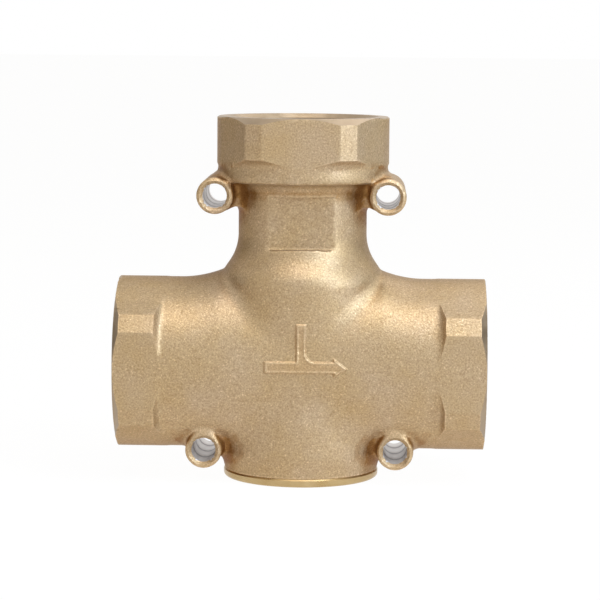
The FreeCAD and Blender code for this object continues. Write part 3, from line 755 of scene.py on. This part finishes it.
# %% Finishes
FINISHES = {
    "cast_brass": cast_finish,
    "turned_brass": turned_brass("turned_brass", "Z", (0.46, 0.31, 0.13), (0.56, 0.41, 0.21), (0.24, 0.36)),
    "stainless": mottled(
        "satin_steel", (0.48, 0.48, 0.47), (0.66, 0.66, 0.64),
        metallic=0.9, rough=(0.26, 0.4), scale=700.0, dent=0.03),
    "copper_cup": mottled(
        "drawn_copper", (0.52, 0.26, 0.15), (0.70, 0.40, 0.26),
        metallic=0.9, rough=(0.25, 0.42), scale=500.0, dent=0.03),
    "seal_rubber": mottled(
        "seal_rubber", (0.02, 0.02, 0.02), (0.05, 0.05, 0.048),
        metallic=0.0, rough=(0.55, 0.75), scale=1200.0, dent=0.06),
    "wax": mottled(
        "wax_charge", (0.62, 0.53, 0.34), (0.8, 0.72, 0.54),
        metallic=0.0, rough=(0.5, 0.7), scale=400.0, dent=0.06),
}
FACED = ((0.33, 0.24, 0.15), (0.43, 0.32, 0.21), (0.34, 0.46))  # dark, pale and roughness
LUG_REFLECTION_GAP = 10.0 * MM
MACHINED = [
    turned_brass("faced_top", "Z", *FACED),
    turned_brass("faced_port", "X", *FACED, lift=AXIS_HEIGHT),
    drilled_bore("drilled_lug", LUG_REFLECTION_GAP),
]
THREAD_FINISH = turned_brass("cut_thread", "Z", (0.30, 0.19, 0.08), (0.42, 0.28, 0.13), (0.26, 0.38))
SLOT_OF = {row["node"]: row["material_slot"] for row in frame["record"]["subparts"]}
for node_name, node in frame["nodes"].items():
    node.data.materials.clear()
    node.data.materials.append(FINISHES[SLOT_OF[node_name]])
print("finishes:", sorted(FINISHES))

# %% [markdown]
# ### Machined places on the casting
# After blasting, the foundry turns the port faces with their bevels and drills the lugs. Each face of the
# casting's mesh takes a machined finish by where its middle lies.

# %% Machined places on the casting
HOLE_SLACK, MOUTH_REACH, FACE_SLACK, BEVEL_SLACK, LUG_SLACK = 0.3, 2.0, 0.1, 0.06, 0.12
SHAFT_TOP, SHAFT_REACH = -6.2, 21.2
TURNED_Z, TURNED_X, DRILLED = 1, 2, 3


def port_places(r, along, reach):
    """Which faces belong to a port's hole, its end face or the bevel round that."""
    hole = (along > reach - THREAD_DEPTH - HOLE_SLACK) & (r < THREAD_R + MOUTH_REACH)
    bevel = (hexagon_end(r, along, reach)[0] > -BEVEL_SLACK) & (along > reach - HEX_LENGTH)
    return hole | (along > reach - FACE_SLACK) | bevel


def machined_places(mesh):
    """Index of the finish of each face, 0 where it is blasted."""
    middle = np.empty(len(mesh.polygons) * 3)
    mesh.polygons.foreach_get("center", middle)
    x, y, z = (middle.reshape(-1, 3) / MM - np.array([0.0, 0.0, AXIS_HEIGHT])).T
    across, r_side, r_up = np.abs(x), np.hypot(y, z), np.hypot(x, y)
    index = np.zeros(len(x), dtype=np.int32)
    index[port_places(r_up, z, TOP_REACH) | ((z < SHAFT_TOP) & (r_up < SHAFT_REACH))] = TURNED_Z
    index[port_places(r_side, across, PORT_REACH)] = TURNED_X
    for lug_x, lug_z, _ in LUGS:
        index[np.hypot(across - lug_x, z - lug_z) < LUG_BORE_R + LUG_SLACK] = DRILLED
    return index


for finish in MACHINED:
    casting.data.materials.append(finish)
places = machined_places(casting.data)
casting.data.polygons.foreach_set("material_index", places)
print("machined faces:", np.bincount(places).tolist())

# %% [markdown]
# ## Threads and springs from one rule
# A thread ridge and a spring are the same rule with other numbers: a section carried along a helix. A
# Geometry Nodes tree does this with a Spiral curve and Curve to Mesh, with named inputs for radius, rise,
# turns and the section. The tree ends in Realize Instances and Set Material, and the result is turned
# into a plain mesh.

# %% Helix tree
def helix_tree():
    """Geometry Nodes tree that sweeps a round or cornered section along a helix."""
    tree = bpy.data.node_groups.new("helix_sweep", "GeometryNodeTree")
    face = tree.interface
    face.new_socket("Geometry", in_out="OUTPUT", socket_type="NodeSocketGeometry")
    for name in ("Radius", "Rise", "Turns", "Section Radius"):
        face.new_socket(name, in_out="INPUT", socket_type="NodeSocketFloat")
    for name in ("Section Sides", "Steps"):
        face.new_socket(name, in_out="INPUT", socket_type="NodeSocketInt")
    face.new_socket("Finish", in_out="INPUT", socket_type="NodeSocketMaterial")
    given = tree.nodes.new("NodeGroupInput")
    spiral = tree.nodes.new("GeometryNodeCurveSpiral")
    section = tree.nodes.new("GeometryNodeCurvePrimitiveCircle")
    sweep = tree.nodes.new("GeometryNodeCurveToMesh")
    sweep.inputs["Fill Caps"].default_value = True
    realize = tree.nodes.new("GeometryNodeRealizeInstances")
    paint = tree.nodes.new("GeometryNodeSetMaterial")
    out = tree.nodes.new("NodeGroupOutput")
    for source, node, socket in (
        ("Radius", spiral, "Start Radius"), ("Radius", spiral, "End Radius"), ("Rise", spiral, "Height"),
        ("Turns", spiral, "Rotations"), ("Steps", spiral, "Resolution"),
        ("Section Radius", section, "Radius"), ("Section Sides", section, "Resolution"),
        ("Finish", paint, "Material"),
    ):
        tree.links.new(given.outputs[source], node.inputs[socket])
    tree.links.new(spiral.outputs["Curve"], sweep.inputs["Curve"])
    tree.links.new(section.outputs["Curve"], sweep.inputs["Profile Curve"])
    tree.links.new(sweep.outputs["Mesh"], realize.inputs["Geometry"])
    tree.links.new(realize.outputs["Geometry"], paint.inputs["Geometry"])
    tree.links.new(paint.outputs["Geometry"], out.inputs["Geometry"])
    return tree


HELIX = helix_tree()
print("helix tree:", len(HELIX.nodes), "nodes")


# %% Helix pieces
def helix_piece(name, place, finish, **sizes):
    """Plain mesh of one helix, moved by a matrix, in metres."""
    carrier = bpy.data.objects.new(name + "_carrier", bpy.data.meshes.new(name + "_carrier"))
    bpy.context.scene.collection.objects.link(carrier)
    modifier = carrier.modifiers.new("helix", "NODES")
    modifier.node_group = HELIX
    for item in HELIX.interface.items_tree:
        if item.in_out == "INPUT":
            key = item.name.replace(" ", "_").lower()
            modifier[item.identifier] = finish if key == "finish" else sizes[key]
    seen = carrier.evaluated_get(bpy.context.evaluated_depsgraph_get())
    mesh = bpy.data.meshes.new_from_object(seen)
    bpy.data.objects.remove(carrier)
    mesh.name = name
    mesh.transform(place)
    mesh.shade_smooth()
    obj = bpy.data.objects.new(name, mesh)
    bpy.context.scene.collection.objects.link(obj)
    print(name, len(mesh.polygons), "faces")
    return obj


# %% [markdown]
# ### Port threads
# The ports take a right-hand pipe thread with eleven turns to the inch. The casting's hole is at the
# major radius, so the ridges stand inwards from it. A four-sided section turned on its corner gives their
# slopes.

# %% Port threads
THREAD_PITCH, RIDGE, ROOT_SINK, END_GAP, RIDGE_ANGLE = 2.309, 1.15, 0.1, 1.0, 30.0
THREAD_TURNS = (THREAD_DEPTH - MOUTH_BEVEL - 2.0 * END_GAP) / THREAD_PITCH


def thread_place(reach, turn):
    """Matrix that stands a helix in a port, whose axis is Z turned about Y by this angle."""
    port = Matrix.Translation((0, 0, AXIS_HEIGHT * MM)) @ Matrix.Rotation(turn, 4, "Y")
    return port @ Matrix.Translation((0, 0, (reach - THREAD_DEPTH + END_GAP) * MM))


for name, place in (
    ("bypass_thread", thread_place(TOP_REACH, 0.0)),
    ("outlet_thread", thread_place(PORT_REACH, math.pi / 2)),
    ("inlet_thread", thread_place(PORT_REACH, -math.pi / 2)),
):
    thread = helix_piece(
        name, place, THREAD_FINISH, radius=(THREAD_R + ROOT_SINK) * MM,
        rise=THREAD_TURNS * THREAD_PITCH * MM, turns=THREAD_TURNS, section_radius=RIDGE * MM,
        section_sides=4, steps=96)
    thread.data.set_sharp_from_angle(angle=math.radians(RIDGE_ANGLE))
    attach(thread, "housing")

# %% [markdown]
# ### Springs
# Each spring rides on the body that holds it. Heights here are counted from the underside.

# %% Springs
def spring(node, body, radius, wire, low, high, turns):
    """Round wire between two heights."""
    rise = high - low - 2 * wire
    place = Matrix.Translation((0, 0, (low + wire) * MM))
    coil = helix_piece(
        node + "_coil", place, FINISHES["stainless"], radius=radius * MM, rise=rise * MM, turns=turns,
        section_radius=wire * MM, section_sides=12, steps=48)
    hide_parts(node)
    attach(coil, body)
    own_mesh(coil)


spring(
    "return_spring", "housing", radius=10.5, wire=0.75, low=29.0, high=43.6, turns=3.5)
spring(
    "bypass_spring", "capsule", radius=4.6, wire=0.45, low=43.3, high=50.9, turns=3.0)

# %% [markdown]
# ## Stage, light and camera
# The valve stands on a pale floor in a white room. The floor and the world are white to the camera and to
# reflections, and the floor gives warm light back to the faces that look down. From below it is clear, so
# that the underside can be seen. A low grey card at each side, seen only in the metal, darkens the faces
# that are turned away from the camera. A soft lamp stands up to the right, as the bright shoulder on that
# side of the casting shows, with others above it, overhead, at the right side for the upright faces and,
# weakest, behind.

# %% White room
AMBIENT = 0.02


def seen_directly(tree):
    """1 for rays that show the room itself: straight to the camera, mirrored or through glass."""
    path = tree.nodes.new("ShaderNodeLightPath")
    out = path.outputs["Is Camera Ray"]
    for name in ("Is Glossy Ray", "Is Transmission Ray"):
        either = add_node(tree, "ShaderNodeMath", operation="MAXIMUM")
        tree.links.new(out, either.inputs[0])
        tree.links.new(path.outputs[name], either.inputs[1])
        out = either.outputs[0]
    return out


def white_room():
    """World that is white where it is seen and gives hardly any light."""
    world = bpy.data.worlds.new("white_room")
    world.use_nodes = True
    tree = world.node_tree
    strength = to_range(tree, seen_directly(tree), AMBIENT, 1.0, 0.0, 1.0)
    tree.links.new(strength, tree.nodes["Background"].inputs["Strength"])
    tree.nodes["Background"].inputs["Color"].default_value = (1, 1, 1, 1)
    bpy.context.scene.world = world


def flat_sheet(name, corners):
    """Object with one four-sided face."""
    mesh = bpy.data.meshes.new(name)
    mesh.from_pydata(corners, [], [(0, 1, 2, 3)])
    sheet = bpy.data.objects.new(name, mesh)
    bpy.context.scene.collection.objects.link(sheet)
    return sheet


white_room()
print("world:", bpy.context.scene.world.name)


# %% Side cards
def side_card(name, side, out, front, back, height, grey):
    """A grey card beside the stage, seen only in what the metal mirrors."""
    uprights = ((front, 0.0), (back, 0.0), (back, height), (front, height))
    card = flat_sheet(name, [(side * out, y, z) for y, z in uprights])
    material, tree, _, _ = start_material(name)
    glow = add_node(tree, "ShaderNodeEmission")
    strength = to_range(tree, seen_directly(tree), AMBIENT, grey, 0.0, 1.0)
    tree.links.new(strength, glow.inputs["Strength"])
    tree.links.new(glow.outputs[0], tree.nodes["Material Output"].inputs["Surface"])
    card.data.materials.append(material)
    card.visible_camera = False
    card.visible_shadow = False


for name, side in (("left_card", -1.0), ("right_card", 1.0)):
    side_card(name, side, out=1.2, front=0.0, back=1.4, height=0.5, grey=0.25)
    print(name, "stands")

# %% Floor
FLOOR_COLOUR, FLOOR_ROUGHNESS, BOUNCE_COLOUR = (0.95, 0.95, 0.95, 1), 0.8, (1.0, 0.89, 0.72, 1)


def mix_shaders(tree, share, first, second):
    """Shader socket between two others; the share is a number socket."""
    mix = tree.nodes.new("ShaderNodeMixShader")
    for socket, source in zip(mix.inputs, (share, first, second)):
        tree.links.new(source, socket)
    return mix.outputs[0]


def pale_floor(reach, gap, glow_share, bounce):
    """White where it is seen, warm where it lights the metal, and clear from below."""
    corners = [(-reach, -reach, -gap), (reach, -reach, -gap), (reach, reach, -gap), (-reach, reach, -gap)]
    floor = flat_sheet("floor", corners)
    material, tree, shader, _ = start_material("floor")
    shader.inputs["Base Color"].default_value = FLOOR_COLOUR
    shader.inputs["Roughness"].default_value = FLOOR_ROUGHNESS
    shader.inputs["Emission Color"].default_value = BOUNCE_COLOUR
    shader.inputs["Emission Strength"].default_value = bounce
    glow = add_node(tree, "ShaderNodeEmission", Strength=1.0)
    clear = add_node(tree, "ShaderNodeBsdfTransparent")
    below = add_node(tree, "ShaderNodeNewGeometry").outputs["Backfacing"]
    share = to_range(tree, seen_directly(tree), 0.0, glow_share, 0.0, 1.0)
    lit = mix_shaders(tree, share, shader.outputs[0], glow.outputs[0])
    one_way = mix_shaders(tree, below, lit, clear.outputs[0])
    tree.links.new(one_way, tree.nodes["Material Output"].inputs["Surface"])
    floor.data.materials.append(material)


pale_floor(reach=12.0, gap=0.05 * MM, glow_share=0.96, bounce=0.46)
print("floor laid")

# %% Lamps
LAMP_AIM = Vector((0, 0, 0.05))
LAMPS = [  # name, place and width in metres, power in watts, colour
    ("key", (0.55, -0.45, 0.75), 0.35, 2.85, (0.76, 1.0, 1.24)),
    ("high_key", (0.35, -0.25, 0.92), 0.35, 1.5, (0.84, 1.0, 1.22)),
    ("top", (0.0, -0.35, 0.95), 0.6, 2.85, (1.04, 1.0, 0.95)),
    ("right_side", (0.80, -0.55, 0.35), 0.4, 4.0, (0.80, 1.0, 1.27)),
    ("back", (0.30, 0.60, 0.80), 0.6, 1.2, WHITE),
]


def lamp(name, place, size, power, colour):
    """Round area lamp that looks at the middle of the valve."""
    data = bpy.data.lights.new(name, "AREA")
    data.shape = "DISK"
    data.size = size
    data.energy = power
    data.color = colour
    obj = bpy.data.objects.new(name, data)
    obj.location = place
    obj.rotation_euler = (LAMP_AIM - Vector(place)).to_track_quat("-Z", "Y").to_euler()
    bpy.context.scene.collection.objects.link(obj)


for row in LAMPS:
    lamp(*row)
print("lamps:", len(LAMPS))

# %% [markdown]
# ### Camera
# The camera was fitted to the outlines of the ports, the plug and the hexagons: it stands about 0.7 m in
# front, looks down by a little over six degrees and is turned and rolled very slightly.

# %% Camera
DISTANCE, FOCAL, SENSOR = 717.41, 144.78, 36.0
PITCH, YAW, ROLL = (math.radians(a) for a in (6.3517, -1.6972, 0.4558))
AIM_X, AIM_Z = 0.4657, -18.4485
look = Vector((0, math.cos(PITCH), -math.sin(PITCH)))
level_up = Vector((0, math.sin(PITCH), math.cos(PITCH)))
right = math.cos(ROLL) * Vector((1, 0, 0)) + math.sin(ROLL) * level_up
up = -math.sin(ROLL) * Vector((1, 0, 0)) + math.cos(ROLL) * level_up
eye = -AIM_X * right - AIM_Z * up - DISTANCE * look
unyaw = Matrix.Rotation(-YAW, 3, "Z")
right, up, look, eye = (unyaw @ v for v in (right, up, look, eye))
lens = bpy.data.cameras.new("camera")
lens.lens = FOCAL
lens.sensor_width = SENSOR
camera = bpy.data.objects.new("camera", lens)
basis = Matrix((right, up, -look)).transposed().to_4x4()
camera.matrix_world = Matrix.Translation((eye + Vector((0, 0, AXIS_HEIGHT))) * MM) @ basis
bpy.context.scene.collection.objects.link(camera)
bpy.context.scene.camera = camera
bpy.context.scene.view_settings.view_transform = "Standard"
print("camera:", [round(v, 1) for v in eye], "mm from the crossing of the axes")
